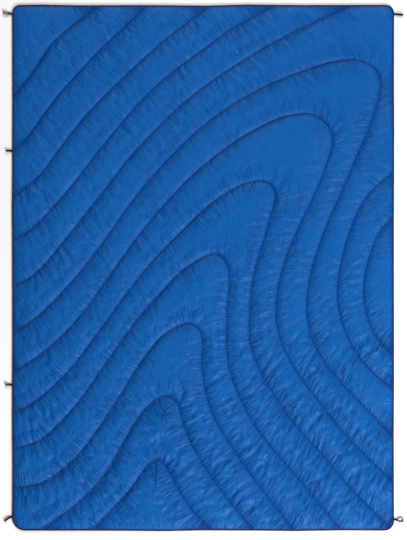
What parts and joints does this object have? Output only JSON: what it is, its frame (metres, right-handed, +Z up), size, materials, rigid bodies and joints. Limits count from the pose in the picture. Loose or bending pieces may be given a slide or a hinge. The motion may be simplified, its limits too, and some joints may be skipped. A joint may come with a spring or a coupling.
{
  "type": "camp blanket",
  "caption": "Quilted camp blanket: two cloth shells over a filling, sewn through in curved wave channels, bound round the edge, with hinged tape loops for pegs or cord.",
  "frame": {"origin": "the middle of the underside, on the surface that the blanket lies on", "axes": "+Z up through the blanket's face, +Y to its head end along its length, +X to its right side seen from above"},
  "size_m": [1.447, 1.9, 0.0216],
  "materials": {
    "face_cloth": "smooth woven synthetic cloth with a soft sheen",
    "back_cloth": "smooth woven synthetic cloth with a soft sheen",
    "filling": "lofted white fibre, out of sight",
    "quilt_thread": "fine polyester thread",
    "binding": "matt ribbed tape",
    "binding_thread": "fine polyester thread",
    "loop_tape": "matt narrow woven tape"
  },
  "bodies": {
    "blanket": {"face_shell": "face_cloth", "insulation_batt": "filling", "back_shell": "back_cloth", "binding_tape": "binding", "binding_thread": "binding_thread", "binding_bobbin_thread": "binding_thread", "quilt_thread_01": "quilt_thread", "quilt_thread_02": "quilt_thread", "quilt_thread_03": "quilt_thread", "quilt_thread_04": "quilt_thread", "quilt_thread_05": "quilt_thread", "quilt_thread_06": "quilt_thread", "quilt_thread_07": "quilt_thread", "quilt_thread_08": "quilt_thread", "quilt_thread_09": "quilt_thread", "quilt_thread_10": "quilt_thread", "quilt_thread_11": "quilt_thread", "quilt_thread_12": "quilt_thread", "quilt_thread_13": "quilt_thread", "quilt_thread_14": "quilt_thread", "quilt_bobbin_thread_01": "quilt_thread", "quilt_bobbin_thread_02": "quilt_thread", "quilt_bobbin_thread_03": "quilt_thread", "quilt_bobbin_thread_04": "quilt_thread", "quilt_bobbin_thread_05": "quilt_thread", "quilt_bobbin_thread_06": "quilt_thread", "quilt_bobbin_thread_07": "quilt_thread", "quilt_bobbin_thread_08": "quilt_thread", "quilt_bobbin_thread_09": "quilt_thread", "quilt_bobbin_thread_10": "quilt_thread", "quilt_bobbin_thread_11": "quilt_thread", "quilt_bobbin_thread_12": "quilt_thread", "quilt_bobbin_thread_13": "quilt_thread", "quilt_bobbin_thread_14": "quilt_thread", "loop_tail_head_left": "loop_tape", "bartack_head_left": "binding_thread", "loop_tail_head_right": "loop_tape", "bartack_head_right": "binding_thread", "loop_tail_foot_left": "loop_tape", "bartack_foot_left": "binding_thread", "loop_tail_foot_right": "loop_tape", "bartack_foot_right": "binding_thread", "loop_tail_side_head": "loop_tape", "bartack_side_head": "binding_thread", "loop_tail_side_foot": "loop_tape", "bartack_side_foot": "binding_thread"},
    "loop_head_left_body": {"loop_head_left": "loop_tape"},
    "loop_head_right_body": {"loop_head_right": "loop_tape"},
    "loop_foot_left_body": {"loop_foot_left": "loop_tape"},
    "loop_foot_right_body": {"loop_foot_right": "loop_tape"},
    "loop_side_head_body": {"loop_side_head": "loop_tape"},
    "loop_side_foot_body": {"loop_side_foot": "loop_tape"}
  },
  "joints": [
    {"name": "loop_head_left_flex", "type": "hinge", "parent": "blanket", "child": "loop_head_left_body", "pos_m": [-0.6916, 0.918, 0.00375], "axis": [0, 1, 0], "range_deg": [-90, 90]},
    {"name": "loop_head_right_flex", "type": "hinge", "parent": "blanket", "child": "loop_head_right_body", "pos_m": [0.6916, 0.916, 0.00375], "axis": [0, -1, 0], "range_deg": [-90, 90]},
    {"name": "loop_foot_left_flex", "type": "hinge", "parent": "blanket", "child": "loop_foot_left_body", "pos_m": [-0.6916, -0.9, 0.00375], "axis": [0, 1, 0], "range_deg": [-90, 90]},
    {"name": "loop_foot_right_flex", "type": "hinge", "parent": "blanket", "child": "loop_foot_right_body", "pos_m": [0.6916, -0.91, 0.00375], "axis": [0, -1, 0], "range_deg": [-90, 90]},
    {"name": "loop_side_head_flex", "type": "hinge", "parent": "blanket", "child": "loop_side_head_body", "pos_m": [-0.6916, 0.4225, 0.00375], "axis": [0, 1, 0], "range_deg": [-90, 90]},
    {"name": "loop_side_foot_flex", "type": "hinge", "parent": "blanket", "child": "loop_side_foot_body", "pos_m": [-0.6916, -0.4225, 0.00375], "axis": [0, 1, 0], "range_deg": [-90, 90]}
  ]
}
